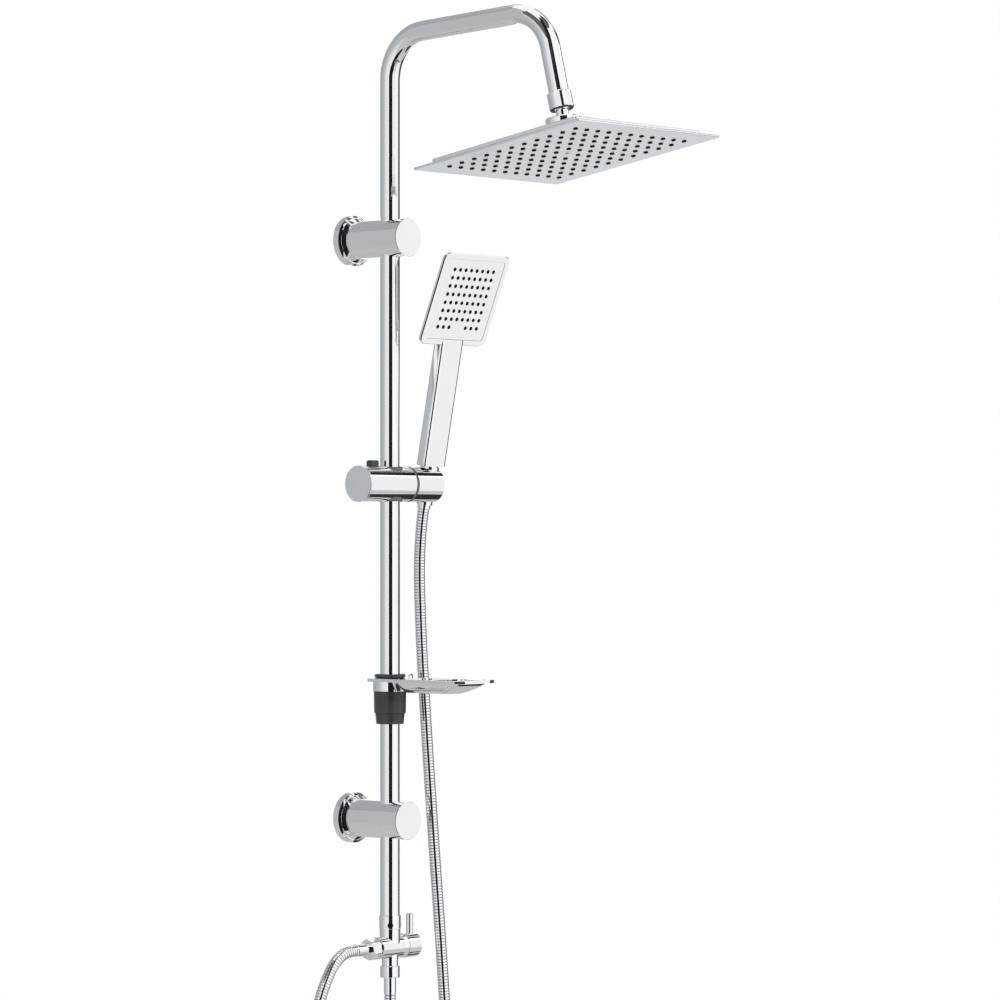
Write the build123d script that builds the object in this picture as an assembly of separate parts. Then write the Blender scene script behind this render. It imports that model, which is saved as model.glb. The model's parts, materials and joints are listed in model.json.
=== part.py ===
from build123d import *
import math
import os

# Shower column on a wall: the wall is the plane y = 0, the room is on the -Y side, +Z is up.
# The origin is the middle of the upper bracket's back, on the wall.

WALL_GAP = 65.0            # wall to riser axis
BRACKET_SPACING = 690.0    # upper bracket axis to lower bracket axis
RISER_D = 24.0
RISER_BORE = 22.0
RISER_END = -819.0

POST_D = 45.0
POST_FRONT = 30.0          # post front ahead of the riser axis
ROSE_D = 60.0
ROSE_DEEP = 15.2

ARM_RISE = 239.7           # height where the arm's line meets the riser axis
ARM_CORNER = (240.9, 250.8)
ARM_BEND = 55.0
LEG_LEAN = 14.0
NUT_END = (269.5, 134.3)   # outward and height of the ball nut's lower end
NUT_FLATS = 26.0
NUT_TALL = 20.5

BALL_UP = 6.5              # ball centre above the nut's lower end
BALL_R = 10.5
NECK_R = 7.5
HEAD_TILT = 9.1
HEAD_SIDE = 250.0
HEAD_PLATE = 2.5
HEAD_DROP = 58.0           # ball centre to the spray face
TIER_SIDE = 220.0
TIER_TALL = 8.0
BOSS_D = 42.0
BOSS_TOP = -16.0
HEAD_ROWS = 11
HEAD_PITCH = 19.1
HEAD_HOLE_R = 2.8
HEAD_NUB = 1.8             # nozzle tips stand this far below the face

SLIDER_Z = -291.5
SLIDER_D = 43.0
SLIDER_LEFT = -55.0
SLIDER_RIGHT = 24.6
HOLDER_LEFT = 28.9
HOLDER_RIGHT = 74.0
HAND_X = 65.0
HAND_LEAN = 11.3
BUSH_D = 30.0

HAND_SIDE = 115.0
HAND_PLATE = 12.5
HAND_RIM = 3.6
HAND_FACE_LEAN = 22.5
HAND_FACE_AT = (18.3, 226.8)   # face centre: ahead of the handle axis, along it
HANDLE_WIDE = 38.3
HANDLE_DEEP = 16.0
HANDLE_CORNER = 4.5
HANDLE_LOW = 23.5
HANDLE_AHEAD = 1.25        # handle middle ahead of the hose axis
PANEL_SIDE = 100.0
HAND_ROWS = 8
HAND_PITCH = (9.75, 10.3)
HAND_HOLE_R = 2.2

DISH_TOP = -521.4
DISH_WIDE = 70.0
DISH_FRONT = 140.0
DISH_BACK = -9.0
DISH_RIM = 3.8
FRONT_FLAT = 42.8          # front edge between the two corner cuts
CORNER_CUT = 5.8           # depth of each corner cut
SLEEVE_NECK_R = 15.0

VALVE_Z = -841.0
BARREL_R = 13.2
KNOB_R = 14.6

HOSE_R = 7.0
HOSE_ROOT_R = 6.3
HOSE_BORE_R = 5.3
RIB_PITCH = 12.0

RUN = 0.05                 # radial play of a running fit
APART = 0.3                # free gap between pieces that move past each other


def rod(radius, low, high):
    return Pos(0, 0, (low + high) / 2) * Cylinder(radius, high - low)


def tube(radius, bore, low, high):
    return rod(radius, low, high) - rod(bore, low - 1, high + 1)


def turned(points):
    outline = Polyline(*[(r, 0, z) for r, z in points], close=True)
    return revolve(make_face(outline), Axis.Z)


def block(wide, deep, low, high):
    return Pos(0, 0, (low + high) / 2) * Box(wide, deep, high - low)


def slab(wide, deep, corner, low, high):
    return Pos(0, 0, low) * extrude(RectangleRounded(wide, deep, corner), high - low)


def hexagon(flats, low, high, bevel):
    radius = flats / math.sqrt(3)
    body = Pos(0, 0, low) * extrude(RegularPolygon(radius, 6), high - low)
    rim = flats / 2 + 0.3
    cone = turned([
        (0, low), (rim, low), (radius + 0.1, low + bevel),
        (radius + 0.1, high - bevel), (rim, high), (0, high),
    ])
    return body & cone


def along_x(shape):
    return Rot(0, 90, 0) * shape


def outward(shape):
    return Rot(90, 0, 0) * shape


def spot(x, out, z):
    return (x, -WALL_GAP - out, z)


def at(x, out, z):
    return Pos(*spot(x, out, z))


nodes = {}


# Wall brackets
def bracket(prefix, z):
    here = Pos(0, 0, z)
    plate = rod(20.0, 0, 4) + tube(18.5, 15.5, 4, 18)
    for x in (-11, 11):
        plate -= Pos(x, 0, 0) * rod(2.5, -1, 5)
        plate -= Pos(x, 0, 2.5) * turned([(0, 0), (2.5, 0), (4.1, 1.6), (0, 1.6)])
    nodes[prefix + "_wall_plate"] = here * outward(plate)

    rose = turned([
        (POST_D / 2 + RUN, 0), (ROSE_D / 2, 0), (ROSE_D / 2, 8.6), (26.5, 12.1), (26.1, 12.1),
        (25.9, 12.3), (23.0, ROSE_DEEP), (POST_D / 2 + RUN, ROSE_DEEP),
    ])
    nodes[prefix + "_rose"] = here * outward(rose)

    front = WALL_GAP + POST_FRONT
    post = turned([
        (0, 4.05), (POST_D / 2, 4.05), (POST_D / 2, front - 0.4),
        (POST_D / 2 - 0.4, front), (0, front),
    ])
    post -= rod(18.5 + RUN, 4, 42)
    post -= Pos(0, 0, 12) * Rot(90, 0, 0) * rod(2.5, 15, 25)
    post = here * outward(post)
    post -= at(0, 0, z) * rod(RISER_D / 2 + RUN, -30, 30)
    nodes[prefix + "_post"] = post

    screw = rod(2.45, 18.6, 22.2) - Pos(0, 0, 20.4) * extrude(RegularPolygon(1.4, 6), 3)
    nodes[prefix + "_grub_screw"] = here * outward(Pos(0, 0, 12) * Rot(90, 0, 0) * screw)


bracket("upper", 0)
bracket("lower", -BRACKET_SPACING)

# Riser, coupling and overhead arm
nodes["riser_tube"] = at(0, 0, 0) * tube(RISER_D / 2, RISER_BORE / 2, RISER_END, -0.1)
coupling = tube(10.9, 8.5, -28, 28)
for z in (-16, 16):
    coupling -= tube(12, 9.3, z - 1.2, z + 1.2)
    ring_name = "upper_o_ring" if z > 0 else "lower_o_ring"
    angles = [math.radians(a) for a in range(0, 360, 60)]
    nodes[ring_name] = at(0, 0, z) * turned([(10.1 + 0.78 * math.cos(a), 0.78 * math.sin(a)) for a in angles])
nodes["riser_coupling"] = at(0, 0, 0) * coupling

leg_frame = at(0, NUT_END[0], NUT_END[1]) * Rot(-LEG_LEAN, 0, 0)
ARM_TAIL = 16.5            # the arm tube ends this far up inside the ball nut
tail = (leg_frame * Pos(0, 0, ARM_TAIL)).position
arm_path = FilletPolyline(
    spot(0, 0, 0.1), spot(0, 0, ARM_RISE), spot(0, *ARM_CORNER), (tail.X, tail.Y, tail.Z),
    radius=ARM_BEND,
)
arm_start = Plane(origin=spot(0, 0, 0.1), x_dir=(1, 0, 0), z_dir=(0, 0, 1))
arm_ring = arm_start * (Circle(RISER_D / 2) - Circle(RISER_BORE / 2))
nodes["overhead_arm"] = sweep(arm_ring, path=arm_path)

# Ball joint under the arm
fitting = rod(12.1, 12.5, 16.4) + rod(10.9, 16.3, 34) - rod(9.0, 0, 40)
for z in (13.6, 15.2):
    fitting -= tube(14, 11.8, z - 0.25, z + 0.25)
nodes["arm_end_fitting"] = leg_frame * fitting
ball_nut = hexagon(NUT_FLATS, 0, NUT_TALL, 1.6) - rod(12.2, 1.0, NUT_TALL + 1)
ball_nut -= turned([(0, -0.1), (10.3, -0.1), (9.6, 1.1), (0, 1.1)])
nodes["ball_nut"] = leg_frame * Rot(0, 0, -18) * ball_nut
seat = rod(11.9, 7.0, 12.1) - Pos(0, 0, BALL_UP) * Sphere(BALL_R + APART)
nodes["ball_seat"] = leg_frame * seat

# Rain head, drawn about its ball centre
head_frame = leg_frame * Pos(0, 0, BALL_UP) * Rot(LEG_LEAN - HEAD_TILT, 0, 0)
FACE_LOW = -HEAD_DROP
FACE_TOP = FACE_LOW + HEAD_PLATE
TIER_TOP = FACE_TOP + TIER_TALL
stem = Sphere(BALL_R) + rod(NECK_R, BOSS_TOP, -6) + rod(8.0, -28, BOSS_TOP)
stem -= rod(4.5, -30, 12)
nodes["ball_stem"] = head_frame * stem

grid = [(i - (HEAD_ROWS - 1) / 2) * HEAD_PITCH for i in range(HEAD_ROWS)]
head_spots = [(x, y) for x in grid for y in grid if abs(x) + abs(y) > 1]

tier = slab(TIER_SIDE, TIER_SIDE, 4, FACE_TOP + 0.02, TIER_TOP)
tier = chamfer(tier.faces().sort_by(Axis.Z)[-1].edges(), 1.0)
waterway = rod(8.0 + RUN, -28.05, 0) + rod(7.0, -36, -27) + rod(1.6, FACE_TOP, -44)
for turn in range(4):
    waterway += Rot(0, 0, 90 * turn + 45) * Pos(6.3, 0, 0) * rod(1.6, FACE_TOP + 1, -35)
boss = turned([
    (0, TIER_TOP + 0.02), (BOSS_D / 2, TIER_TOP + 0.02), (BOSS_D / 2, BOSS_TOP - 1.5),
    (BOSS_D / 2 - 1.5, BOSS_TOP), (0, BOSS_TOP),
])
nodes["head_boss"] = head_frame * (boss - waterway)
back = tier - slab(201, 201, 3, FACE_TOP - 1, FACE_TOP + 5)
back += rod(5.5, FACE_TOP + 1.6, FACE_TOP + 5.5)
back -= waterway
back -= slab(213, 213, 2, FACE_TOP - 1, FACE_TOP + 1) - slab(207, 207, 2, FACE_TOP - 2, FACE_TOP + 2)
nodes["head_back"] = head_frame * back
gasket = slab(212.6, 212.6, 2, FACE_TOP + 0.02, FACE_TOP + 0.95)
gasket -= slab(207.4, 207.4, 2, FACE_TOP - 1, FACE_TOP + 2)
nodes["head_gasket"] = head_frame * gasket

hole = RegularPolygon(HEAD_HOLE_R, 8)
face = slab(HEAD_SIDE, HEAD_SIDE, 3, FACE_LOW, FACE_TOP)
face -= Pos(0, 0, FACE_LOW - 1) * extrude(Sketch() + [Pos(x, y) * hole for x, y in head_spots], HEAD_PLATE + 2)
face -= rod(1.7, FACE_LOW - 1, FACE_TOP + 1)
nodes["head_face"] = head_frame * face
mat = slab(200, 200, 3, FACE_TOP + 0.02, FACE_TOP + 1.5) - rod(2.2, FACE_TOP - 1, FACE_TOP + 3)
tips = Sketch() + [Pos(x, y) * RegularPolygon(HEAD_HOLE_R - 0.15, 8) for x, y in head_spots]
mat += Pos(0, 0, FACE_LOW - HEAD_NUB) * extrude(tips, HEAD_PLATE + HEAD_NUB + 0.4)
nodes["nozzle_mat"] = head_frame * mat
screw = rod(1.55, FACE_LOW - 0.5, -46) + turned([
    (0, FACE_LOW - 0.8), (2.0, FACE_LOW - 0.8), (2.5, FACE_LOW - 0.4),
    (2.5, FACE_LOW - 0.02), (0, FACE_LOW - 0.02),
])
screw -= block(0.6, 6, FACE_LOW - 2, FACE_LOW - 0.45)
nodes["centre_screw"] = head_frame * screw

# Slider on the riser
slide_frame = at(0, 0, SLIDER_Z)
bush = tube(BUSH_D / 2, RISER_D / 2 + RUN, -20.5, 20.5)
nodes["slider_bush"] = slide_frame * bush
TAB_AT = -30.0
TAB_WIDE = 11.5
TAB_DEEP = 9.0
slider = along_x(rod(SLIDER_D / 2, SLIDER_LEFT + 3, SLIDER_RIGHT))
slider -= along_x(rod(17.0, SLIDER_LEFT, -18.5))
slider -= rod(BUSH_D / 2 + RUN, -30, 30)
slider -= along_x(rod(5.0 + RUN, 10, SLIDER_RIGHT + 1))
slider -= Pos(TAB_AT, 0, 20) * Box(TAB_WIDE + 0.8, TAB_DEEP + 0.8, 20)
nodes["slider_body"] = slide_frame * slider
disc = turned([
    (0, 0), (SLIDER_D / 2 - 0.4, 0), (SLIDER_D / 2, 0.4), (SLIDER_D / 2, 2.98),
    (17 - RUN, 2.98), (17 - RUN, 8), (0, 8),
])
nodes["slider_end_disc"] = slide_frame * Pos(SLIDER_LEFT, 0, 0) * along_x(disc)
tab = Pos(TAB_AT, 0, 0) * (
    chamfer(block(TAB_WIDE, TAB_DEEP, 9, 28).faces().sort_by(Axis.Z)[-1].edges(), 1.2)
    + block(TAB_WIDE + 3, TAB_DEEP + 4, 9, 12)
)
nodes["brake_tab"] = slide_frame * tab
SPRING_LOW = -16.1
SPRING_HIGH = 8.95
SPRING_R = 4.5
WIRE_R = 0.6
SPRING_TURNS = 5
sections = []
for i in range(SPRING_TURNS * 12 + 1):
    part = i / (SPRING_TURNS * 12)
    rise = SPRING_LOW + WIRE_R + part * (SPRING_HIGH - SPRING_LOW - 2 * WIRE_R)
    angle = i * math.pi / 6
    place = (SPRING_R * math.cos(angle), SPRING_R * math.sin(angle), rise)
    lift = (SPRING_HIGH - SPRING_LOW - 2 * WIRE_R) / (SPRING_TURNS * 2 * math.pi)
    way = (-SPRING_R * math.sin(angle), SPRING_R * math.cos(angle), lift)
    across = (math.cos(angle), math.sin(angle), 0)
    sections.append(Plane(origin=place, x_dir=across, z_dir=way) * RegularPolygon(WIRE_R, 6))
nodes["tab_spring"] = slide_frame * Pos(TAB_AT, 0, 0) * loft(sections, ruled=True)
ring = along_x(tube(21.2, 5.4, SLIDER_RIGHT + 0.02, HOLDER_LEFT - APART))
nodes["clutch_ring"] = slide_frame * ring

# Holder cup that turns about the slider's axis
HAND_CONE_TOP = 12.0
HAND_CONE_LOW = 9.8
CONE_HIGH = 22.6
CONE_BASE = -24.0
hand_frame = at(HAND_X, 0, SLIDER_Z) * Rot(HAND_LEAN, 0, 0)
in_slide = Pos(HAND_X, 0, 0) * Rot(HAND_LEAN, 0, 0)
slope = (HAND_CONE_TOP - HAND_CONE_LOW) / (CONE_HIGH - CONE_BASE)
cup_hole = turned([
    (0, -32), (HAND_CONE_LOW - 8 * slope + APART, -32),
    (HAND_CONE_TOP + 8 * slope + APART, CONE_HIGH + 8), (0, CONE_HIGH + 8),
])
holder = along_x(rod(SLIDER_D / 2, HOLDER_LEFT, HOLDER_RIGHT))
holder = chamfer(holder.faces().sort_by(Axis.X)[-1].edges(), 1.0)
holder -= in_slide * cup_hole
holder -= in_slide * Pos(15, 0, 0) * Box(30, 16, 80)
holder -= along_x(rod(5.03, 20, 60))
holder -= along_x(rod(7.5, 43.4, 60))
nodes["holder_cup"] = slide_frame * holder
bolt = along_x(rod(5.0, 16.5, 43.6) + rod(7.3, 43.5, 49.0))
bolt -= Pos(46, 0, 0) * along_x(extrude(RegularPolygon(3.4, 6), 4))
nodes["clutch_bolt"] = slide_frame * (bolt - in_slide * cup_hole)

# Hand shower, drawn along its handle axis
cone_nut = turned([(0, CONE_BASE), (HAND_CONE_LOW, CONE_BASE), (HAND_CONE_TOP, CONE_HIGH), (0, CONE_HIGH)])
cone_nut -= rod(10.4, 4.0, 30)
cone_nut -= rod(8.2, -30, 5)
nodes["hose_cone_nut"] = hand_frame * cone_nut
inlet = rod(10.3, 9.2, HANDLE_LOW - 0.02) + rod(5.2, 23, 42) - rod(3.6, 0, 50)
for z in (11.5, 13.3, 15.1, 16.9, 18.7):
    inlet -= tube(12, 9.6, z - 0.4, z + 0.4)
nodes["hand_inlet"] = hand_frame * inlet
nodes["hand_washer"] = hand_frame * tube(10.0, 5.2, 7.0, 9.15)
HOSE_TOP = -29.0
ferrule = rod(7.9, HOSE_TOP, 5.0) + rod(10.1, 4.1, 6.95) - rod(HOSE_BORE_R, -40, 20)
nodes["hand_ferrule"] = hand_frame * ferrule

face_frame = Pos(0, -HAND_FACE_AT[0], HAND_FACE_AT[1]) * Rot(HAND_FACE_LEAN - HAND_LEAN, 0, 0)
flat = face_frame * Rot(90, 0, 0)      # local +Z leaves the spray face, local +Y runs up it
shell = slab(HAND_SIDE, HAND_SIDE, 9, -HAND_RIM, 0)
shell = chamfer(shell.faces().sort_by(Axis.Z)[-1].edges(), 1.0)
shell += loft([
    Pos(0, 0, -HAND_RIM) * RectangleRounded(HAND_SIDE, HAND_SIDE, 9),
    Pos(0, 0, -HAND_PLATE) * RectangleRounded(HAND_SIDE - 26, HAND_SIDE - 26, 9),
])
handle = Pos(0, -HANDLE_AHEAD, 0) * slab(HANDLE_WIDE, HANDLE_DEEP, HANDLE_CORNER, HANDLE_LOW, 200)
body = handle + flat * shell
body -= flat * slab(PANEL_SIDE + 0.5, PANEL_SIDE + 0.5, 4, -2.2, 1)
body -= flat * slab(90, 90, 3, -8.2, 0)
body -= rod(5.25, 20, 42.1)
body -= rod(3.6, 40, 192)
nodes["hand_body"] = hand_frame * body

steps = [i - (HAND_ROWS - 1) / 2 for i in range(HAND_ROWS)]
hand_spots = [
    (HAND_PITCH[0] * i, HAND_PITCH[1] * j + 1) for i in steps for j in steps if not (j < -3 and abs(i) < 1)
]
jet = Sketch() + [Pos(x, y) * RegularPolygon(HAND_HOLE_R, 8) for x, y in hand_spots]
panel = slab(PANEL_SIDE, PANEL_SIDE, 3.8, -2.15, -0.3) - Pos(0, 0, -3) * extrude(jet, 4)
nodes["hand_panel"] = hand_frame * flat * panel
jets = Sketch() + [Pos(x, y) * RegularPolygon(HAND_HOLE_R - 0.15, 8) for x, y in hand_spots]
hand_mat = slab(88, 88, 3, -3.6, -2.2) + Pos(0, 0, -2.6) * extrude(jets, 3.3)
nodes["hand_nozzles"] = hand_frame * flat * hand_mat

# Soap dish on its clamp sleeve
HUB_LOW = -537.1
sleeve = turned([
    (RISER_D / 2 + RUN, -576), (16.3, -576), (17.6, -563.5), (18.9, -563), (19.4, HUB_LOW - 0.4),
    (SLEEVE_NECK_R, HUB_LOW - 0.4), (SLEEVE_NECK_R, DISH_TOP - 0.2), (RISER_D / 2 + RUN, DISH_TOP - 0.2),
])
nodes["dish_sleeve"] = at(0, 0, 0) * sleeve
clamp_ring = turned([
    (12.4, DISH_TOP + 0.3), (17.6, DISH_TOP + 0.3), (18.4, DISH_TOP + 1.1), (18.4, DISH_TOP + 3.6),
    (17.6, DISH_TOP + 4.4), (12.4, DISH_TOP + 4.4),
])
lip = tube(13.6, 12.4, DISH_TOP - 0.2, DISH_TOP + 0.4)
nodes["dish_ring"] = at(0, 0, 0) * (clamp_ring + lip)
NOSE = 100.0               # the front end with cut corners starts here
DISH_LONG = NOSE + 10 - DISH_BACK
dish_mid = at(0, DISH_BACK + DISH_LONG / 2, 0)
plate_low = DISH_TOP - DISH_RIM
BOWL_TOP = (62.0, 104.0, 82.5)     # width, length, middle ahead of the riser axis
BOWL_WAIST = (51.0, 91.0, 78.5)
BOWL_FLOOR = (34.0, 73.0, 71.0)


def bowl(grow, low):
    high = plate_low + 0.5
    levels = zip((BOWL_TOP, BOWL_WAIST, BOWL_FLOOR), (high, (high + low) / 2, low))
    return loft([at(0, c, z) * RectangleRounded(a + grow, b + grow, 12) for (a, b, c), z in levels])


nose = [(-DISH_WIDE / 2, NOSE), (-DISH_WIDE / 2, DISH_FRONT - CORNER_CUT), (-FRONT_FLAT / 2, DISH_FRONT)]
nose += [(-x, out) for x, out in reversed(nose)]
nose_outline = Polyline(*[(x, -WALL_GAP - out) for x, out in nose], close=True)
dish = dish_mid * slab(DISH_WIDE, DISH_LONG, 9, plate_low, DISH_TOP)
dish += Pos(0, 0, plate_low) * extrude(make_face(nose_outline), DISH_RIM, dir=(0, 0, 1))
dish += at(0, 0, 0) * rod(20.6, HUB_LOW, DISH_TOP)
dish += bowl(0, -537.5)
dish -= bowl(-4.4, -535.4)
dish -= at(0, BOWL_TOP[2], 0) * slab(BOWL_TOP[0] - 4.4, BOWL_TOP[1] - 4.4, 9.8, plate_low + 0.4, DISH_TOP + 1)
dish -= at(0, 0, 0) * rod(SLEEVE_NECK_R + RUN, -560, -500)
for x in (-12, 0, 12):
    dish -= at(x, 76, 0) * slab(4, 36, 1.9, -540, -530)
hook = Rot(0, 90, 0) * tube(4.0, 2.4, -0.8, 0.8) & Pos(0, 0, 2) * Box(4, 10, 5)
dish += at(32.5, 4, DISH_TOP) * hook
nodes["soap_dish"] = dish

# Diverter at the riser's lower end
valve = at(0, 0, VALVE_Z)
collar = turned([
    (RISER_D / 2 + RUN, -819), (12.9, -819), (13.2, -818.7),
    (13.2, -803.4), (12.9, -803), (RISER_D / 2 + RUN, -803),
])
grub_way = Pos(0, 0, -814.6) * Rot(0, 0, -135) * along_x(rod(3.45, 0, 20))
nodes["diverter_collar"] = at(0, 0, 0) * (collar - grub_way)
grub = rod(3.4, 12.06, 13.1) - Pos(0, 0, 12.5) * extrude(RegularPolygon(1.7, 6), 2)
nodes["collar_grub_screw"] = at(0, 0, -814.6) * Rot(0, 0, -135) * along_x(grub)
valve_body = along_x(rod(BARREL_R, -24, 19.4)) + rod(12.6, 0, 21.8) + rod(10.9, 21, 46) + rod(10.2, -23.5, 0)
valve_body += along_x(rod(9.0, -36, -23))
valve_body -= rod(6.5, -30, 60)
valve_body -= along_x(rod(5.5, -40, 0))
valve_body -= along_x(rod(8.0 + RUN, -9, 25))
for x in (-29.5, -31.5, -33.5):
    valve_body -= along_x(tube(10, 8.5, x - 0.4, x + 0.4))
for z in (-16.5, -18.5, -20.5):
    valve_body -= tube(11, 9.6, z - 0.4, z + 0.4)
nodes["diverter_body"] = valve * valve_body
knob = turned([
    (0, 19.75), (KNOB_R, 19.75), (KNOB_R, 40.5), (KNOB_R - 1.2, 41.7), (0, 41.7),
])
knob = along_x(knob) - along_x(rod(6.0, 19, 30)) - Pos(34, 0, 0) * (rod(3.0, 4, 20) + rod(4.4, 13.9, 20))
nodes["diverter_knob"] = valve * knob
pin = rod(2.97, 4.2, 14.5) + turned([(0, 13.95), (4.3, 13.95), (4.3, 36.6), (3.2, 37.8), (0, 37.8)])
nodes["lever_pin"] = valve * Pos(34, 0, 0) * pin
spindle = along_x(rod(8.0, -8.6, 18) + rod(5.97, 17.5, 29.9)) - rod(4.5, -20, 0) - along_x(rod(4.5, -10, 0))
nodes["diverter_spindle"] = valve * spindle

# Hose nuts at the diverter
left_nut = Rot(-10, 0, 0) * along_x(hexagon(22.5, -40, -24.4, 3.0))
left_nut -= along_x(rod(9.05, -38, -20)) + along_x(rod(7.7, -42, -30))
nodes["left_hex_nut"] = valve * left_nut
LEFT_END = -60.0
left_ferrule = rod(7.5, LEFT_END, -37.5) + rod(8.9, -37.95, -36.95) - rod(HOSE_BORE_R, -60, -20)
nodes["left_ferrule"] = valve * along_x(left_ferrule)
nodes["left_washer"] = valve * along_x(tube(8.9, 5.6, -36.93, -36.05))
SUPPLY_TOP = -895.0
top_nut = turned([(0, -877), (11.4, -877), (12, -876.4), (12, -863.6), (11.4, -863), (0, -863)])
top_nut -= rod(10.25, -872, -860) + rod(7.7, -880, -870)
nodes["supply_top_nut"] = at(0, 0, 0) * top_nut
nodes["supply_top_ferrule"] = at(0, 0, 0) * (
    rod(7.5, SUPPLY_TOP, -871) + rod(9.9, -871.9, -868.6) - rod(HOSE_BORE_R, -900, -860)
)
nodes["supply_washer"] = at(0, 0, 0) * tube(9.9, 6.0, -868.55, -864.6)


# Ribbed hoses: straight runs joined by tangent arcs
def route(points):
    spots = [Vector(*p) for p in points]
    pieces = []
    cursor = spots[0]
    radii = []
    for a, b, c in zip(spots, spots[1:], spots[2:]):
        before = (b - a).normalized()
        after = (c - b).normalized()
        turn = math.acos(max(-1.0, min(1.0, before.dot(after))))
        shorter = min((b - a).length, (c - b).length)
        radius = 0.45 * shorter / math.tan(turn / 2)
        cut = radius * math.tan(turn / 2)
        radii.append(radius)
        start = b - before * cut
        pieces.append(("line", cursor, before, (start - cursor).length))
        inward = (after - before * before.dot(after)).normalized()
        pieces.append(("arc", start, before, radius * turn, inward, radius))
        cursor = b + after * cut
    last = spots[-1] - cursor
    pieces.append(("line", cursor, last.normalized(), last.length))
    return pieces, radii


def station(pieces, s):
    for piece in pieces:
        if s <= piece[3] or piece is pieces[-1]:
            if piece[0] == "line":
                return piece[1] + piece[2] * s, piece[2]
            angle = s / piece[5]
            inward = piece[4]
            ahead = piece[2] * (piece[5] * math.sin(angle))
            place = piece[1] + ahead + inward * (piece[5] * (1 - math.cos(angle)))
            return place, piece[2] * math.cos(angle) + inward * math.sin(angle)
        s -= piece[3]


def ring_at(pieces, s, radius):
    place, way = station(pieces, s)
    side = Vector(0, 1, 0) if abs(way.Y) < 0.8 else Vector(1, 0, 0)
    return Plane(origin=place, x_dir=side - way * side.dot(way), z_dir=way) * Circle(radius)


def hose(name, points):
    pieces, radii = route(points)
    length = sum(p[3] for p in pieces)
    plain = 2 * HOSE_R
    count = int((length - 2 * plain) / RIB_PITCH)
    pitch = (length - 2 * plain) / count
    rings = [(0.0, HOSE_R)]
    for i in range(count):
        s = plain + i * pitch
        rings += [(s, HOSE_R), (s + 0.5 * pitch, HOSE_ROOT_R)]
    rings += [(length - plain, HOSE_R), (length, HOSE_R)]
    skin = loft([ring_at(pieces, s, r) for s, r in rings], ruled=True)
    edges = []
    for piece in pieces:
        end, _ = station([piece], piece[3])
        middle, _ = station([piece], piece[3] / 2)
        edges.append(Line(piece[1], end) if piece[0] == "line" else ThreePointArc(piece[1], middle, end))
    bore = sweep(ring_at(pieces, 0, HOSE_BORE_R), path=Wire(edges))
    section = math.pi * (0.5 * (HOSE_R ** 2 + HOSE_ROOT_R ** 2) - HOSE_BORE_R ** 2)
    solid = skin - bore
    print(name, "length", round(length, 1), "ribs", count, "least radius", round(min(radii), 1),
          "volume over section", round(solid.volume / (section * length), 3))
    nodes[name] = solid


top = (hand_frame * Pos(0, 0, HOSE_TOP)).position
under = (hand_frame * Pos(0, 0, HOSE_TOP - 45)).position
HAND_ROUTE = [
    spot(LEFT_END, 0, VALVE_Z), spot(-84, 0, VALVE_Z), spot(-112, 0, -857), spot(-133, 1, -893),
    spot(-147, 3, -945), spot(-154, 8, -1010), spot(-146, 16, -1080), spot(-118, 26, -1142),
    spot(-66, 33, -1180), spot(-6, 36, -1190), spot(48, 34, -1166), spot(78, 29, -1112),
    spot(86, 22, -1036), spot(80, 17, -940), spot(74, 13, -830), spot(68, 7, -710),
    spot(64, 0, -590), spot(62, -7, -480), (under.X, under.Y, under.Z), (top.X, top.Y, top.Z),
]
hose("hand_hose", HAND_ROUTE)
SUPPLY_LOW = -1350.0
SUPPLY_ROUTE = [
    spot(0, 0, SUPPLY_TOP), spot(0, 0, -950), spot(6, 3, -1080), spot(-4, 6, -1200),
    spot(0, 4, -1300), spot(0, 4, SUPPLY_LOW),
]
hose("supply_hose", SUPPLY_ROUTE)
nodes["supply_end_ferrule"] = at(0, 4, SUPPLY_LOW) * (
    rod(7.5, -26, 0) + rod(9.8, -29, -26) - rod(HOSE_BORE_R, -40, 10)
)
end_nut = hexagon(24, -36, -22, 1.5) - rod(10.4, -40, -29.1) - rod(9.9, -30, -25.9) - rod(7.7, -30, 0)
nodes["supply_end_nut"] = at(0, 4, SUPPLY_LOW) * end_nut

os.makedirs("parts", exist_ok=True)
for name, shape in nodes.items():
    export_step(shape, os.path.join("parts", name + ".step"))
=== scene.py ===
import json
import math

import bmesh
import bpy
import numpy as np
from mathutils import Matrix, Vector


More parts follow.
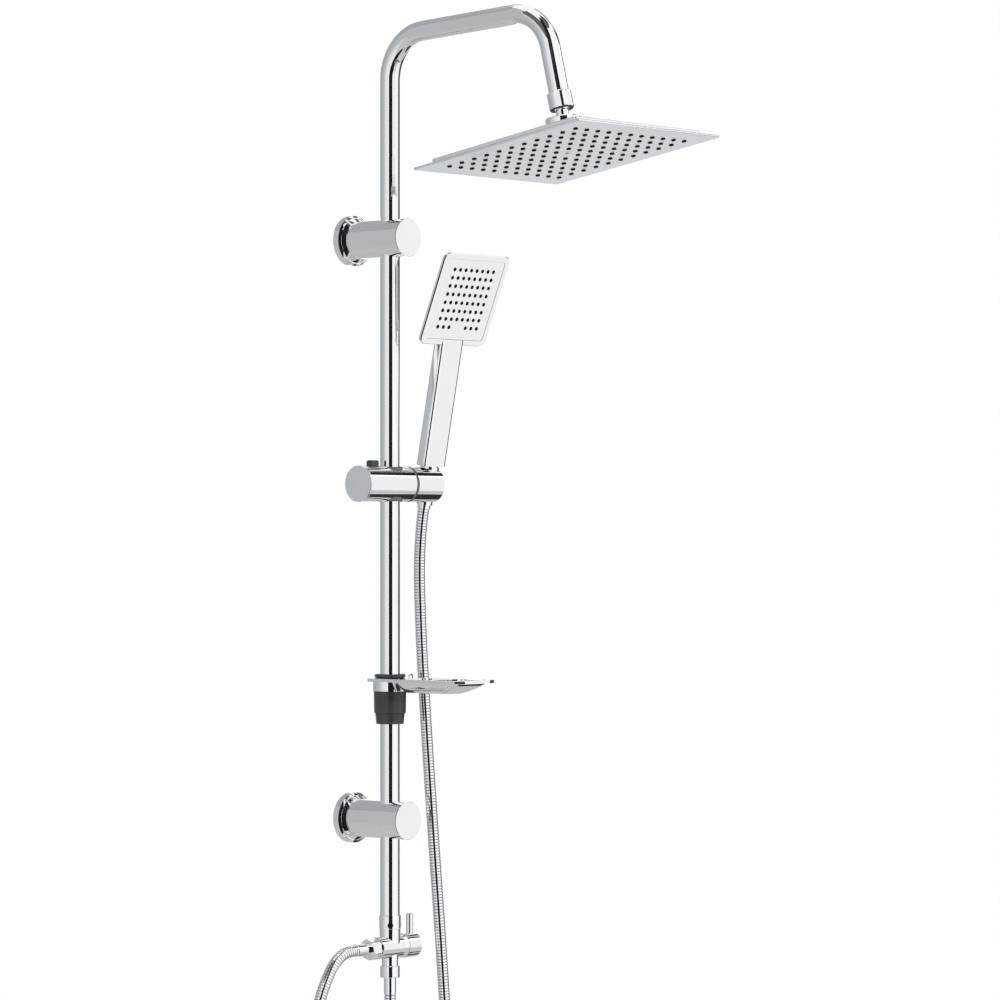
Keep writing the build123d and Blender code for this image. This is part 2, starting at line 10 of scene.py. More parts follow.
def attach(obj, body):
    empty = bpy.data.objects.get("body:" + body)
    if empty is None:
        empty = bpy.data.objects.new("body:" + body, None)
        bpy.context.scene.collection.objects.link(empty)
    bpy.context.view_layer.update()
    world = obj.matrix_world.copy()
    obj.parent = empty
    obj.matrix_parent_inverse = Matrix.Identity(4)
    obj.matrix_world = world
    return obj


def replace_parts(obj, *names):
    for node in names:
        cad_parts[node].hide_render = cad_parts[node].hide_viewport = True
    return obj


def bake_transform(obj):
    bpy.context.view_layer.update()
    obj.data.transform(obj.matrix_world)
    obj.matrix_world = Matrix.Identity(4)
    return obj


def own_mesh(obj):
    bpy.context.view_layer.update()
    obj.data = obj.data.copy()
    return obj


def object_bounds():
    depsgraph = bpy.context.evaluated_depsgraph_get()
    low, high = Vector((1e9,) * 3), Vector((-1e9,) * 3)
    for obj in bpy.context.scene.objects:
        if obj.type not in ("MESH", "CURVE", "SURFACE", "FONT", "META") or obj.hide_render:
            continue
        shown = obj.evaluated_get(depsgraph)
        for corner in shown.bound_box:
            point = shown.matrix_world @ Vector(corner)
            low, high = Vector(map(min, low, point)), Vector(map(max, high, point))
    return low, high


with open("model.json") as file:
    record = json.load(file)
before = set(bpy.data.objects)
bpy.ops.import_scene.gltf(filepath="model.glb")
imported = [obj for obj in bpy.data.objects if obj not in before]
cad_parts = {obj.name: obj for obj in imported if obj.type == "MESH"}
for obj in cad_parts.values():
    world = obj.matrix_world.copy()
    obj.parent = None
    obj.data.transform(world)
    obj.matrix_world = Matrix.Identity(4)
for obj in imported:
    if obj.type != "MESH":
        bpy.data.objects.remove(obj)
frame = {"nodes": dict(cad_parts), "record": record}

CAD_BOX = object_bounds()
NODES = frame["nodes"]
SCENE = bpy.context.scene
MM = 0.001

# Main places in millimetres and degrees: x along the wall, out from the riser's axis, z up
RISER_Y = -65.0
LOWER_BRACKET_Z = -690
VALVE_Z = -841
LEG_OUT = 269.5
LEG_Z = 134.3
LEG_TURN = -14.0
BALL_RISE = 6.5
HEAD_TURN = 4.9
CUP_X = 65
CUP_Z = -291.5
CUP_TURN = 11.3
PANEL_OUT = 18.3
PANEL_RISE = 226.8
PANEL_TURN = 11.2


def spot(x, out, z):
    return Vector((x, RISER_Y - out, z)) * MM


def turn_x(degrees):
    return Matrix.Rotation(math.radians(degrees), 4, "X")


LEG = Matrix.Translation(spot(0, LEG_OUT, LEG_Z)) @ turn_x(LEG_TURN)
HEAD = LEG @ Matrix.Translation((0, 0, BALL_RISE * MM)) @ turn_x(HEAD_TURN)
HAND = Matrix.Translation(spot(CUP_X, 0, CUP_Z)) @ turn_x(CUP_TURN)
PANEL_SHIFT = Matrix.Translation((0, -PANEL_OUT * MM, PANEL_RISE * MM))
HAND_FACE = HAND @ PANEL_SHIFT @ turn_x(PANEL_TURN) @ turn_x(90)


# Camera at the photograph's viewing angle
VIEW_TURN = -48.4
CAMERA_AT = (-3.42134, -3.27731, -0.34596)
LENS = 142.2
SENSOR = 36.0
LENS_SHIFT = 0.03
FAR_END = 200


def place_camera():
    data = bpy.data.cameras.new("camera")
    data.lens = LENS
    data.sensor_width = SENSOR
    data.shift_y = LENS_SHIFT
    data.clip_end = FAR_END
    camera = bpy.data.objects.new("camera", data)
    camera.location = CAMERA_AT
    camera.rotation_euler = (math.radians(90), 0, math.radians(VIEW_TURN))
    SCENE.collection.objects.link(camera)
    SCENE.camera = camera


place_camera()


# Materials: a source's values between these two limits run from the low setting to the high one
SOURCE_LOW = 0.35
SOURCE_HIGH = 0.65


class Paint:
    def __init__(self, name):
        self.material = bpy.data.materials.new(name)
        self.material.use_nodes = True
        self.tree = self.material.node_tree
        self.shader = self.tree.nodes["Principled BSDF"]
        self.where = self.tree.nodes.new("ShaderNodeTexCoord").outputs["Object"]

    def set(self, **values):
        for key, value in values.items():
            self.shader.inputs[key.replace("_", " ")].default_value = value
        return self

    def noise(self, scale, detail):
        node = self.tree.nodes.new("ShaderNodeTexNoise")
        node.inputs["Scale"].default_value = scale
        node.inputs["Detail"].default_value = detail
        self.tree.links.new(self.where, node.inputs["Vector"])
        return node.outputs["Fac"]

    def ramp(self, source, low, high):
        node = self.tree.nodes.new("ShaderNodeMapRange")
        node.inputs["From Min"].default_value = SOURCE_LOW
        node.inputs["From Max"].default_value = SOURCE_HIGH
        node.inputs["To Min"].default_value = low
        node.inputs["To Max"].default_value = high
        self.tree.links.new(source, node.inputs["Value"])
        return node.outputs["Result"]

    def rough(self, source, low, high):
        self.tree.links.new(self.ramp(source, low, high), self.shader.inputs["Roughness"])

    def tint(self, source, low, high):
        node = self.tree.nodes.new("ShaderNodeMix")
        node.data_type = "RGBA"
        node.inputs["A"].default_value = (*low, 1)
        node.inputs["B"].default_value = (*high, 1)
        self.tree.links.new(self.ramp(source, 0, 1), node.inputs["Factor"])
        self.tree.links.new(node.outputs["Result"], self.shader.inputs["Base Color"])

    def bump(self, source, height, strength):
        node = self.tree.nodes.new("ShaderNodeBump")
        node.inputs["Distance"].default_value = height
        node.inputs["Strength"].default_value = strength
        self.tree.links.new(source, node.inputs["Height"])
        self.tree.links.new(node.outputs["Normal"], self.shader.inputs["Normal"])


def chrome(name, light, dark, smooth, rough):
    paint = Paint(name).set(Metallic=1.0)
    paint.tint(paint.noise(scale=9.0, detail=4.0), dark, light)
    paint.rough(paint.noise(scale=38.0, detail=5.0), smooth, rough)
    paint.bump(paint.noise(scale=22.0, detail=2.0), height=0.00001, strength=0.1)
    return paint.material


def plastic(name, light, dark, smooth, rough, grain, shine=0.5):
    paint = Paint(name).set(Specular_IOR_Level=shine)
    paint.tint(paint.noise(scale=60.0, detail=4.0), dark, light)
    paint.rough(paint.noise(scale=240.0, detail=4.0), smooth, rough)
    paint.bump(paint.noise(scale=grain, detail=3.0), height=0.00006, strength=0.6)
    return paint.material


# Hose metal whose base colour runs from the crest colour to a second, dark colour by each ring's groove
# depth: painted shade in the grooves of the winding
def hose_metal(name, crest, groove_painted_shade, smooth, rough):
    paint = Paint(name).set(Metallic=1.0)
    depth = paint.tree.nodes.new("ShaderNodeAttribute")
    depth.attribute_name = "groove_painted_shade"
    paint.tint(depth.outputs["Fac"], crest, groove_painted_shade)
    paint.rough(paint.noise(scale=160.0, detail=4.0), smooth, rough)
    return paint.material


CHROME = chrome("chrome", (0.95, 0.955, 0.96), (0.92, 0.925, 0.93), 0.02, 0.05)
PLATED = chrome("plated_plastic", (0.94, 0.945, 0.95), (0.91, 0.915, 0.92), 0.03, 0.065)
# The second colour, dark grey, is painted shade for the hose's grooves, not a darker metal
HOSE = hose_metal("hose_metal", (0.94, 0.945, 0.95), (0.34, 0.34, 0.345), 0.05, 0.11)
FACE = chrome("face_steel", (0.472, 0.500, 0.545), (0.445, 0.472, 0.515), 0.16, 0.20)
PANEL = chrome("panel_steel", (0.93, 0.935, 0.94), (0.91, 0.915, 0.92), 0.06, 0.09)
SATIN = chrome("satin_steel", (0.93, 0.935, 0.945), (0.90, 0.905, 0.915), 0.24, 0.30)
BRASS = chrome("brass", (0.78, 0.60, 0.30), (0.70, 0.52, 0.25), 0.16, 0.28)
ZINC = chrome("zinc_steel", (0.66, 0.67, 0.68), (0.56, 0.57, 0.58), 0.22, 0.38)
BLACK = chrome("black_oxide", (0.040, 0.040, 0.042), (0.020, 0.020, 0.021), 0.30, 0.45)
DARK = plastic("dark_plastic", (0.062, 0.065, 0.070), (0.040, 0.042, 0.046), 0.30, 0.42, grain=1400.0)
GREY = plastic("grey_plastic", (0.19, 0.195, 0.20), (0.15, 0.155, 0.16), 0.34, 0.46, grain=1200.0)
WHITE = plastic("white_plastic", (0.86, 0.86, 0.84), (0.80, 0.80, 0.78), 0.35, 0.5, grain=900.0)
RUBBER = plastic("seal_rubber", (0.045, 0.045, 0.046), (0.025, 0.025, 0.026), 0.6, 0.75, grain=900.0)
SILICONE = plastic(
    "nozzle_silicone", (0.012, 0.012, 0.013), (0.006, 0.006, 0.007), 0.42, 0.55, grain=1800.0, shine=0.12,
)
BY_SLOT = {
    "chrome": CHROME, "plated_plastic": PLATED, "hose_metal": HOSE, "face_steel": FACE, "brass": BRASS,
    "zinc_steel": ZINC, "dark_plastic": DARK, "white_plastic": WHITE, "seal_rubber": RUBBER,
    "nozzle_silicone": SILICONE, "black_screw": BLACK,
}
BY_NODE = {
    "hand_panel": PANEL, "head_back": SATIN, "slider_end_disc": SATIN,
    "clutch_ring": GREY, "slider_bush": GREY,
}


# CAD nodes keep their shape and normals
for part in frame["record"]["subparts"]:
    node = NODES[part["node"]]
    node.data.materials.clear()
    node.data.materials.append(BY_NODE.get(part["node"], BY_SLOT[part["material_slot"]]))


# New pieces, made of rings that have the same number of points
def piece(name, verts, faces, material, slot, body=None):
    mesh = bpy.data.meshes.new(name)
    mesh.from_pydata([tuple(v) for v in verts], [], faces)
    mesh.validate()
    mesh.update()
    mesh.shade_smooth()
    mesh.materials.append(material)
    obj = bpy.data.objects.new(name, mesh)
    SCENE.collection.objects.link(obj)
    if body:
        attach(obj, body)
    return obj


def face_outwards(mesh):
    work = bmesh.new()
    work.from_mesh(mesh)
    bmesh.ops.recalc_face_normals(work, faces=work.faces)
    work.to_mesh(mesh)
    work.free()


def bands(rings, count, closed=False):
    faces = []
    for k in range(rings if closed else rings - 1):
        here = k * count
        there = (k + 1) % rings * count
        for i in range(count):
            j = (i + 1) % count
            faces.append((here + i, here + j, there + j, there + i))
    return faces


def capped(rings, count):
    last = (rings - 1) * count
    ends = [tuple(reversed(range(count))), tuple(range(last, last + count))]
    return bands(rings, count) + ends


def joined(rings):
    return [v for ring in rings for v in ring]


def gathered(parts):
    verts = []
    faces = []
    for part_verts, part_faces in parts:
        base = len(verts)
        verts.extend(part_verts)
        faces.extend(tuple(base + i for i in f) for f in part_faces)
    return verts, faces


def circle(radius, height, place, count=144):
    turns = [2 * math.pi * i / count for i in range(count)]
    return [place @ (Vector((radius * math.cos(a), radius * math.sin(a), height)) * MM) for a in turns]


# The last ring joins the first, as in a turned piece with a bore
def solid(name, rings, material, slot, body, crease=25):
    faces = bands(len(rings), len(rings[0]), closed=True)
    obj = piece(name, joined(rings), faces, material, slot, body)
    face_outwards(obj.data)
    obj.data.set_sharp_from_angle(angle=math.radians(crease))
    return obj


# Hoses: a wound skin along the route's own spline
def under_hand(depth):
    return HAND @ Vector((0, 0, -depth * MM))


HAND_ROUTE = [
    spot(-60, 0, -841), spot(-77, 0, -841), spot(-95, 0, -852.5), spot(-108.5, 0.5, -870.5),
    spot(-120, 1, -892), spot(-133, 2, -925), spot(-146, 4, -970), spot(-153, 9, -1024),
    spot(-145, 16, -1083), spot(-118, 26, -1142),
    spot(-66, 33, -1180), spot(-6, 36, -1190), spot(48, 34, -1166), spot(78, 29, -1112),
    spot(86, 22, -1036), spot(80, 17, -940), spot(74, 13, -830), spot(68, 7, -710),
    spot(64, 0, -590), spot(62, -7, -480),
    under_hand(74), under_hand(29),
]
SUPPLY_ROUTE = [
    spot(0, 0, -895), spot(0, 0, -950), spot(6, 3, -1080), spot(-4, 6, -1200),
    spot(0, 4, -1300), spot(0, 4, -1350),
]

# Lengths along a hose are in metres
HOSE_R = 0.0070
WIND = 0.0035
HOSE_SIDES = 32
# One turn of the winding: place along the pitch and depth below the flat crest
GROOVE = 0.0006
TURN = [(0.0, 0.0), (0.72, 0.0), (0.79, GROOVE), (0.93, GROOVE)]
# Half the stretch over which a hose's direction is taken
LOOK = 0.0015
TINY = 1e-6


def spline_points(points):
    curve = bpy.data.curves.new("route", "CURVE")
    curve.dimensions = "3D"
    spline = curve.splines.new("NURBS")
    spline.points.add(len(points) - 1)
    for p, co in zip(spline.points, points):
        p.co = (*co, 1)
    spline.order_u = 3
    spline.use_endpoint_u = True
    curve.resolution_u = 24
    obj = bpy.data.objects.new("route", curve)
    SCENE.collection.objects.link(obj)
    bpy.context.view_layer.update()
    mesh = bpy.data.meshes.new_from_object(obj)
    path = np.array([v.co for v in mesh.vertices])
    bpy.data.objects.remove(obj)
    bpy.data.meshes.remove(mesh)
    return path


def along(path):
    steps = np.linalg.norm(np.diff(path, axis=0), axis=1)
    return np.concatenate([[0.0], np.cumsum(steps)])


def points_at(path, stations):
    lengths = along(path)
    return np.stack([np.interp(stations, lengths, path[:, k]) for k in range(3)], axis=1)


def unit(rows):
    return rows / np.linalg.norm(rows, axis=1)[:, None]


def winding(start, end):
    count = max(1, round((end - start) / WIND))
    pitch = (end - start) / count
    stations = [start] + [start + (k + p) * pitch for k in range(count) for p, _ in TURN] + [end]
    depth = [0.0] + [d for _ in range(count) for _, d in TURN] + [0.0]
    return np.array(stations), np.array(depth)


def hose_skin(path, start, end):
    stations, depth = winding(start, end)
    centre = points_at(path, stations)
    way = unit(points_at(path, stations + LOOK) - points_at(path, stations - LOOK))
    side = unit(np.array([0.0, 1.0, 0.0]) - way * way[:, 1:2])
    other = np.cross(way, side)
    angle = np.linspace(0, 2 * math.pi, HOSE_SIDES, endpoint=False)
    cosine = np.cos(angle)[None, :, None]
    sine = np.sin(angle)[None, :, None]
    ring = side[:, None, :] * cosine + other[:, None, :] * sine
    verts = (centre[:, None, :] + ring * (HOSE_R - depth)[:, None, None]).reshape(-1, 3)
    lengths = along(path)
    inside = path[(lengths > start + TINY) & (lengths < end - TINY)]
    line = [tuple(centre[0]), *map(tuple, inside), tuple(centre[-1])]
    return verts, line, np.repeat(depth / GROOVE, HOSE_SIDES), np.repeat(stations, HOSE_SIDES)


def hose_piece(name, path, start, end, body=None):
    verts, line, depth, stations = hose_skin(path, start, end)
    faces = capped(len(verts) // HOSE_SIDES, HOSE_SIDES)
    obj = piece(name, verts, faces, HOSE, "hose_metal", body)
    mesh = obj.data
    # Each ring's groove depth, stored on the mesh, sets how much painted shade the hose material puts into
    # the grooves
    mesh.attributes.new("groove_painted_shade", "FLOAT", "POINT").data.foreach_set("value", depth)
    ends = np.empty(len(mesh.edges) * 2, dtype=np.int32)
    mesh.edges.foreach_get("vertices", ends)
    ends = ends.reshape(-1, 2)
    crest = (ends[:, 0] // HOSE_SIDES == ends[:, 1] // HOSE_SIDES) & (depth[ends[:, 0]] == 0)
    mesh.attributes.new("sharp_edge", "BOOLEAN", "EDGE").data.foreach_set("value", crest)
    return obj, line, stations


# Length along the path where it passes a height: going up on the right (1) or down on the left (-1)
def at_height(path, z, side=1):
    lengths = along(path)
    k = np.where((path[:, 0] * side > 0) & (path[:, 2] * side >= z * side))[0][0]
    a, b = path[k - 1], path[k]
    return lengths[k - 1] + (z - a[2]) / (b[2] - a[2]) * (lengths[k] - lengths[k - 1])


# How much of the higher body's motion each length of the hose takes
def even(start, end):
    return lambda lengths: np.clip((lengths - start) / (end - start), 0, 1)


def eased(start, end):
    def share(lengths):
        t = even(start, end)(lengths)
        return t * t * (3 - 2 * t)
    return share


# For the span up to the tilting end, the share is largest within BOW of the cup and grows smaller further
# along the hose
BOW = 0.085


def bowed(start, end):
    return lambda lengths: eased(start, (start + end) / 2)(lengths) / (1 + ((end - lengths) / BOW) ** 2)


# Heights in metres where the hand hose passes from one body to the next, and where it enters its nut
LOOP_Z = -1.0
LOWER_Z = -0.80
UPPER_Z = -0.41
NUT_Z = -0.335


def hand_hose():
    path = spline_points(HAND_ROUTE)
    total = along(path)[-1]
    left = at_height(path, LOOP_Z, -1)
    loop, lower, upper, nut = [at_height(path, z) for z in (LOOP_Z, LOWER_Z, UPPER_Z, NUT_Z)]
    spans = [
        ("hand_hose_loop", 0.0, loop, "frame", "slider_sleeve", eased(left, loop)),
        ("hand_hose_lower", loop, lower, "slider_sleeve", "slider", eased(loop, lower)),
        ("hand_hose_upper", lower, upper, "slider", "holder", bowed(lower, upper)),
        ("hand_hose_end", upper, total, "holder", "hand_shower", even(upper, nut)),
    ]
    whole = []
    for name, start, end, low, high, share in spans:
        obj, line, stations = hose_piece(name, path, start, end)
        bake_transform(obj)
        weights = share(stations).astype(np.float32)
        whole.append(obj)
    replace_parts(whole[0], "hand_hose")


def supply_hose():
    path = spline_points(SUPPLY_ROUTE)
    total = along(path)[-1]
    obj, line, _ = hose_piece("supply_hose_skin", path, 0.0, total, "frame")
    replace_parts(obj, "supply_hose")


hand_hose()
supply_hose()


# Spray nozzles in rows, sizes in millimetres
NOZZLE_ROOT = 0.4
NOZZLE_SIDES = 16
HEAD_ROWS = 11
HEAD_PITCH = 19.1
HAND_ROWS = 8
HAND_PITCH_X = 9.75
HAND_PITCH_Y = 10.3
HAND_ROWS_RISE = 1


def row_steps(count):
    return [i - (count - 1) / 2 for i in range(count)]


def nozzles(name, place, spots, low, base, tip, tall, body, node):
    outline = [
        (base, low + NOZZLE_ROOT), (base, low), (base * 0.97, low - tall * 0.12),
        (tip * 1.12, low - tall * 0.55), (tip, low - tall * 0.92), (tip * 0.86, low - tall),
        (tip * 0.42, low - tall), (tip * 0.34, low - tall * 0.6),
    ]
    parts = []
    for x, y in spots:
        centre = place @ Matrix.Translation((x * MM, y * MM, 0))
        rings = [circle(r, z, centre, NOZZLE_SIDES) for r, z in outline]
        parts.append((joined(rings), capped(len(rings), NOZZLE_SIDES)))
    obj = piece(name, *gathered(parts), SILICONE, "nozzle_silicone", body)
    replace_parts(obj, node)


# The rain head's middle place holds its screw
def rain_nozzles():
    steps = row_steps(HEAD_ROWS)
    spots = [(HEAD_PITCH * i, HEAD_PITCH * j) for i in steps for j in steps if i or j]
    nozzles(
        "rain_nozzles", HEAD, spots, low=-58.0, base=3.0, tip=2.4, tall=1.2,
        body="rain_head", node="nozzle_mat",
    )


# The hand shower's lowest row has no nozzles in its middle
def hand_nozzle_tips():
    steps = row_steps(HAND_ROWS)
    spots = []
    for i in steps:
        for j in steps:
            if j > steps[0] or abs(i) > 1:
                spots.append((HAND_PITCH_X * i, -(HAND_PITCH_Y * j + HAND_ROWS_RISE)))
    nozzles(
        "hand_nozzle_tips", HAND_FACE @ turn_x(180), spots, low=0.3, base=2.5, tip=2.0, tall=0.7,
        body="hand_shower", node="hand_nozzles",
    )


rain_nozzles()
hand_nozzle_tips()


# Black inlays in the dish's two cut front corners: ends of the cut as x and out, and heights
CUT_START = (-35.0, 134.2)
CUT_END = (-21.4, 140.0)
INLAY_LOW = -524.9
INLAY_HIGH = -521.7
INLAY_INSET = 0.5
INLAY_DEPTH = 0.6
INLAY_PROUD = 0.1


def corner_inlays():
    way = Vector((CUT_END[0] - CUT_START[0], CUT_START[1] - CUT_END[1], 0)).normalized()
    out = Vector((way.y, -way.x, 0))
    outline = [
        (CUT_START, INLAY_INSET, -INLAY_DEPTH), (CUT_START, INLAY_INSET, INLAY_PROUD),
        (CUT_END, -INLAY_INSET, INLAY_PROUD), (CUT_END, -INLAY_INSET, -INLAY_DEPTH),
    ]
    blocks = []
    for side in (-1, 1):
        corners = []
        for z in (INLAY_LOW, INLAY_HIGH):
            for place, inset, proud in outline:
                corner = Vector((place[0], RISER_Y - place[1], z)) + way * inset + out * proud
                corners.append(Vector((-side * corner.x, corner.y, z)) * MM)
        blocks.append((corners, capped(2, len(outline))))
    obj = piece("dish_corner_inlays", *gathered(blocks), RUBBER, "seal_rubber", "dish")
    face_outwards(obj.data)
    obj.data.shade_flat()


corner_inlays()


# Wall roses: radius and distance from the wall, with two bands that swell slightly
ROSE_R = 30
ROSE_BORE = 22.55
ROSE_TALL = 15.2
RIM_TOP = 10.8
SWELL_STEPS = 8


def swell(start, end, rise):
    run = Vector((end[0] - start[0], end[1] - start[1]))
    out = Vector((run.y, -run.x)).normalized()
    steps = [i / SWELL_STEPS for i in range(SWELL_STEPS + 1)]
    return [tuple(Vector(start) + run * t + out * rise * 4 * t * (1 - t)) for t in steps]


def rose(node, height):
    outline = [
        (ROSE_BORE, 0), (ROSE_R, 0), *swell((ROSE_R, 8.5), (27.5, RIM_TOP), rise=0.06),
        *swell((26.5, RIM_TOP), (22.7, 14.8), rise=0.09), (ROSE_BORE, ROSE_TALL),
    ]
    place = Matrix.Translation((0, 0, height * MM)) @ turn_x(90)
    rings = [circle(r, out, place) for r, out in outline]
    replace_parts(solid(node + "_skin", rings, CHROME, "chrome", "frame", crease=16), node)


rose("upper_rose", 0)
rose("lower_rose", LOWER_BRACKET_Z)


# A slope that brings the valve's barrel up to the knob: radius and place along the barrel
BARREL_R = 13.0
KNOB_R = 14.4
SLOPE_START = 13.0
SLOPE_END = 19.35


def knob_seat():
    barrel = Matrix.Translation(spot(0, 0, VALVE_Z)) @ Matrix.Rotation(math.radians(90), 4, "Y")
    outline = [(BARREL_R, SLOPE_START), (KNOB_R, SLOPE_END), (BARREL_R, SLOPE_END)]
    solid("knob_seat_ring", [circle(r, x, barrel) for r, x in outline], CHROME, "chrome", "frame")


knob_seat()


# A nut whose corners are turned round, so that six narrow flats are left, and the dark ring under it
NUT_R = 14.35
NUT_FLATS = 27.96
NUT_TURN = -150
NUT_TALL = 20.5
NUT_BEVEL = 1.3
NUT_LIP = 0.45
NUT_LIP_TALL = 0.4
NUT_BORE = 12.2
NUT_FLOOR = 1.4
SEAL_TALL = 0.9
SEAL_BORE = 10.3
NUT_POINTS = 180


def nut_outline():
    points = []
    for i in range(NUT_POINTS):
        a = 2 * math.pi * i / NUT_POINTS
        from_flat = (math.degrees(a) - NUT_TURN + 30) % 60 - 30
        reach = min(NUT_R, NUT_FLATS / 2 / math.cos(math.radians(from_flat)))
        points.append(Vector((math.cos(a), math.sin(a))) * reach)
    return points


def ball_nut():
    outline = nut_outline()
    outside = [
        (SEAL_TALL, NUT_LIP), (SEAL_TALL + NUT_LIP_TALL, 0.0),
        (NUT_TALL - NUT_BEVEL, 0.0), (NUT_TALL, NUT_BEVEL),
    ]
    inside = [(NUT_BORE, NUT_TALL), (NUT_BORE, NUT_FLOOR), (9.8, NUT_FLOOR), (10.0, SEAL_TALL)]
    rings = []
    for z, inset in outside:
        rings.append([LEG @ (Vector((*(p * (1 - inset / NUT_R)), z)) * MM) for p in outline])
    for radius, z in inside:
        rings.append(circle(radius, z, LEG, NUT_POINTS))
    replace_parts(solid("ball_nut_skin", rings, CHROME, "chrome", "frame", crease=2.5), "ball_nut")


def ball_nut_seal():
    outline = [(SEAL_BORE, SEAL_TALL), (13.8, SEAL_TALL), (13.4, 0.2), (SEAL_BORE, 0.0)]
    solid("ball_nut_seal", [circle(r, z, LEG) for r, z in outline], RUBBER, "seal_rubber", "frame")


ball_nut()
ball_nut_seal()


# Rolled edge of the spray face: a round bead that turns the four corners
EDGE_HALF = 124.2
EDGE_CORNER = 2.2
EDGE_Z = -56.75
BEAD_R = 1.3
BEAD_SIDES = 14
CORNER_STEP = 15


def head_edge():
    rings = []
    for quarter in range(45, 360, 90):
        a = math.radians(quarter)
        middle = Vector((math.cos(a), math.sin(a), 0)) * (EDGE_HALF - EDGE_CORNER) * math.sqrt(2)
        for step in range(-45, 46, CORNER_STEP):
            way = math.radians(quarter + step)
            out = Vector((math.cos(way), math.sin(way), 0))
            ring = []
            for i in range(BEAD_SIDES):
                b = 2 * math.pi * i / BEAD_SIDES
                place = middle + out * (EDGE_CORNER + BEAD_R * math.cos(b))
                ring.append(HEAD @ (Vector((place.x, place.y, EDGE_Z + BEAD_R * math.sin(b))) * MM))
            rings.append(ring)
    solid("head_rolled_edge", rings, SATIN, "chrome", "rain_head", crease=60)


head_edge()


# The brake tab's spring, built at one length; the real spring shortens as the tab goes down
TAB_X = -30.0
SPRING_LOW = -307.6
SPRING_HIGH = -282.55
SPRING_R = 4.5
SPRING_TURNS = 5
TURN_STEPS = 24
WIRE_R = 0.6
WIRE_SIDES = 10


def tab_spring():
    tall = SPRING_HIGH - SPRING_LOW
    count = SPRING_TURNS * TURN_STEPS
    lift = (tall - 2 * WIRE_R) / (2 * math.pi * SPRING_TURNS)
    rings = []
    for i in range(count + 1):
        a = 2 * math.pi * SPRING_TURNS * i / count
        across = Vector((math.cos(a), math.sin(a), 0))
        way = Vector((-SPRING_R * math.sin(a), SPRING_R * math.cos(a), lift)).normalized()
        other = way.cross(across)
        middle = Vector((TAB_X, RISER_Y, SPRING_LOW + WIRE_R + lift * a)) + across * SPRING_R
        ring = []
        for k in range(WIRE_SIDES):
            b = 2 * math.pi * k / WIRE_SIDES
            ring.append((middle + (across * math.cos(b) + other * math.sin(b)) * WIRE_R) * MM)
        rings.append(ring)
    faces = capped(len(rings), WIRE_SIDES)
    obj = piece("tab_spring_coil", joined(rings), faces, ZINC, "zinc_steel", "slider")
    face_outwards(obj.data)
    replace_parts(obj, "tab_spring")
    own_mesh(obj)


tab_spring()


# Studio: pale floor, white surroundings, soft lamps and reflectors that only the metal sees
def white_for(tree, rays, seen_else, seen_white, output, share=1.0):
    path = tree.nodes.new("ShaderNodeLightPath")
    factor = path.outputs[rays[0]]
    for ray in rays[1:]:
        either = tree.nodes.new("ShaderNodeMath")
        either.operation = "MAXIMUM"
        tree.links.new(factor, either.inputs[0])
        tree.links.new(path.outputs[ray], either.inputs[1])
        factor = either.outputs[0]
    part = tree.nodes.new("ShaderNodeMath")
    part.operation = "MULTIPLY"
    part.inputs[1].default_value = share
    tree.links.new(factor, part.inputs[0])
    mix = tree.nodes.new("ShaderNodeMixShader")
    tree.links.new(part.outputs[0], mix.inputs[0])
    tree.links.new(seen_else, mix.inputs[1])
    tree.links.new(seen_white, mix.inputs[2])
    tree.links.new(mix.outputs[0], output)


def surroundings():
    world = bpy.data.worlds.new("studio")
    SCENE.world = world
    world.use_nodes = True
    tree = world.node_tree
    soft = tree.nodes["Background"]
    soft.inputs["Color"].default_value = (0.95, 0.97, 1.0, 1)
    soft.inputs["Strength"].default_value = 0.50
    white = tree.nodes.new("ShaderNodeBackground")
    white.inputs["Color"].default_value = (1, 1, 1, 1)
    white.inputs["Strength"].default_value = 1.0
    white_for(
        tree, ("Is Camera Ray", "Is Glossy Ray", "Is Transmission Ray"), soft.outputs[0], white.outputs[0],
        tree.nodes["World Output"].inputs["Surface"],
    )


# The floor and the dark sheets lie below the part, in metres
PART_LOW = CAD_BOX[0][2]
FLOOR_DROP = 0.02
FLOOR_SIZE = 4.4
FLOOR_GLOW = 0.8
SHEET_DROP = 0.012


def lay_floor():
    bpy.ops.mesh.primitive_plane_add(size=FLOOR_SIZE, location=(0, 0, PART_LOW - FLOOR_DROP))
    floor = bpy.context.object
    floor.name = "floor"
    paint = Paint("floor_paint").set(Roughness=0.9)
    paint.tint(paint.noise(scale=3.0, detail=3.0), (0.86, 0.86, 0.86), (0.90, 0.90, 0.90))
    glow = paint.tree.nodes.new("ShaderNodeEmission")
    glow.inputs["Strength"].default_value = 1.0
    white_for(
        paint.tree, ("Is Camera Ray",), paint.shader.outputs[0], glow.outputs[0],
        paint.tree.nodes["Material Output"].inputs["Surface"], FLOOR_GLOW,
    )
    floor.data.materials.append(paint.material)


# Reflectors around the set, as angles from the viewing direction and from level, and their tone
CARDS = [
    ("card_viewer", (-15, 27), (-32, 78), 0.012),
    ("card_left", (-100, -76), (-32, 60), 0.49),
    ("card_left_far", (-150, -100), (-32, 60), 0.40),
    ("card_left_high", (-76, -15), (38, 66), 0.13),
    ("card_back_high", (-180, -128), (18, 52), 0.40),
    ("card_right", (80, 109), (-45, 36), 0.92),
    ("card_right_far", (110, 156), (-24, 22), 0.10),
    ("card_right_above", (125, 160), (22, 31), 0.20),
    ("card_right_edge", (115, 134), (31, 46), 0.02),
    ("card_right_knob", (134, 172), (31, 35.5), 0.03),
    ("card_right_over", (128, 165), (46, 58), 0.10),
    ("card_over", (27, 118), (62, 82), 0.12),
]
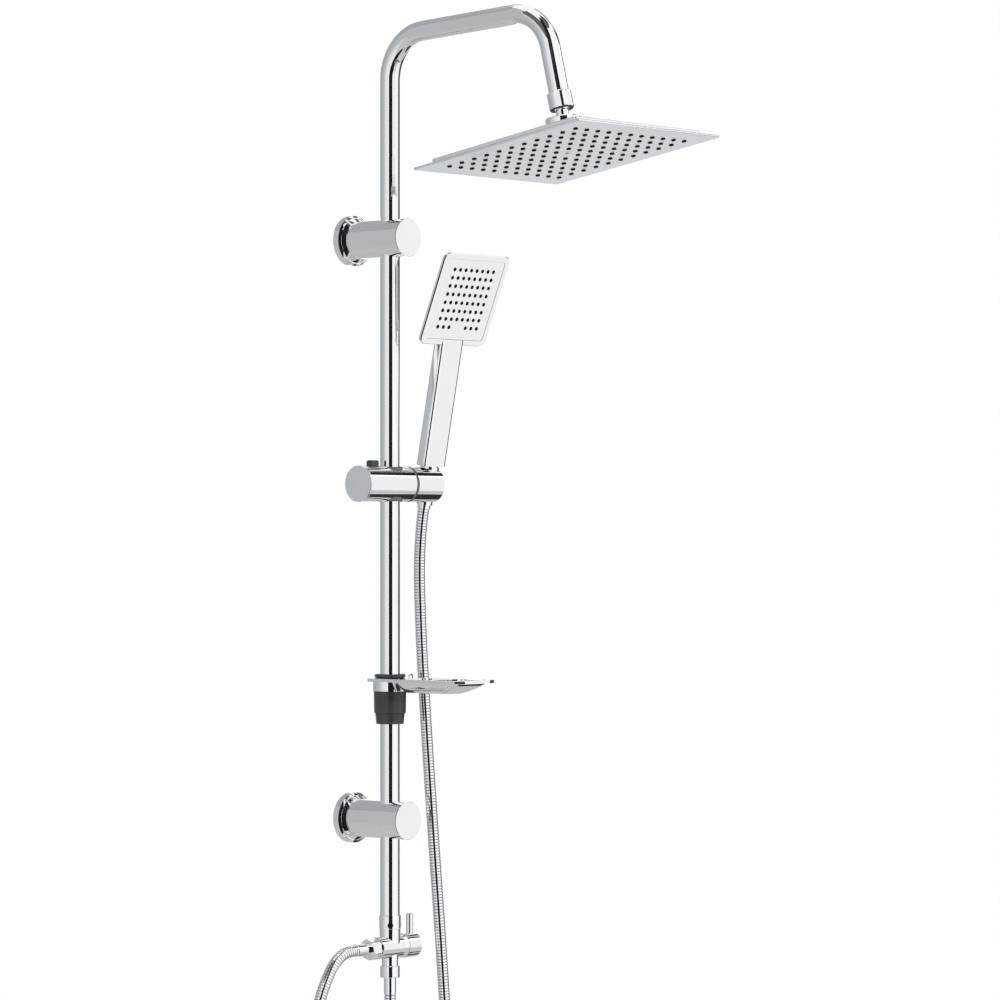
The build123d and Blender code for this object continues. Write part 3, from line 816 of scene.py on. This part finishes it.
# The left side pales in steps towards the viewer
LEFT_STEPS = 9
LEFT_EDGES = np.linspace(-76, -15, LEFT_STEPS + 1)
LEFT_TONE = 0.46
LEFT_PALER = 0.42
for k in range(LEFT_STEPS):
    pale = 1 - (1 - (k + 1) / LEFT_STEPS) ** 2
    CARDS.append((f"card_left_{k}", LEFT_EDGES[k:k + 2], (-32, 38), LEFT_TONE + LEFT_PALER * pale))
# Dark sheets just above the floor: angles, distances from the riser, tone
SHEETS = [
    ("sheet_right", (118, 157), (0.5, 1.45), 0.03),
    ("sheet_viewer", (-13, 27), (0.45, 2.9), 0.012),
]
CARD_REACH = 3.0
CARD_MIDDLE = Vector((0, -0.2, -0.35))
CARD_COLUMNS = 12
# Darker cards are a little bluer
COOL = 0.085


def around(sides):
    for i in range(CARD_COLUMNS + 1):
        a = math.radians(VIEW_TURN + sides[0] + (sides[1] - sides[0]) * i / CARD_COLUMNS)
        yield Vector((math.sin(a), -math.cos(a), 0))


def upright(sides, heights):
    verts = []
    for rise in heights:
        e = math.radians(rise)
        for way in around(sides):
            verts.append(CARD_MIDDLE + (way * math.cos(e) + Vector((0, 0, math.sin(e)))) * CARD_REACH)
    return verts


def level(sides, reaches):
    low = Vector((0, RISER_Y * MM, PART_LOW - SHEET_DROP))
    return [low + way * reach for reach in reaches for way in around(sides)]


def card(name, verts, tone):
    row = CARD_COLUMNS + 1
    faces = [(i, i + 1, row + i + 1, row + i) for i in range(CARD_COLUMNS)]
    mesh = bpy.data.meshes.new(name)
    mesh.from_pydata([tuple(v) for v in verts], [], faces)
    paint = Paint(name + "_paint")
    glow = paint.tree.nodes.new("ShaderNodeEmission")
    cool = COOL * (1 - tone)
    glow.inputs["Color"].default_value = (tone * (1 - cool), tone, tone * (1 + cool), 1)
    paint.tree.links.new(glow.outputs[0], paint.tree.nodes["Material Output"].inputs["Surface"])
    mesh.materials.append(paint.material)
    obj = bpy.data.objects.new(name, mesh)
    SCENE.collection.objects.link(obj)
    obj.visible_camera = False
    obj.visible_diffuse = False
    obj.visible_transmission = False
    obj.visible_shadow = False


def hang_cards():
    for name, sides, heights, tone in CARDS:
        card(name, upright(sides, heights), tone)
    for name, sides, reaches, tone in SHEETS:
        card(name, level(sides, reaches), tone)


# Soft lamps: place, size in metres and power
LAMPS = [
    ("key", (-2.2, -2.0, 1.9), 1.8, 26),
    ("fill", (2.4, -2.2, 0.6), 2.2, 14),
]
LAMP_AIM = Vector((0, -0.2, -0.3))


def hang_lamps():
    for name, place, size, power in LAMPS:
        lamp = bpy.data.lights.new(name, "AREA")
        lamp.size = size
        lamp.energy = power
        obj = bpy.data.objects.new(name, lamp)
        obj.location = place
        aim = LAMP_AIM - Vector(place)
        obj.rotation_euler = aim.to_track_quat("-Z", "Y").to_euler()
        obj.visible_camera = False
        SCENE.collection.objects.link(obj)


surroundings()
lay_floor()
hang_cards()
hang_lamps()
SCENE.view_settings.view_transform = "Standard"

bpy.context.view_layer.update()
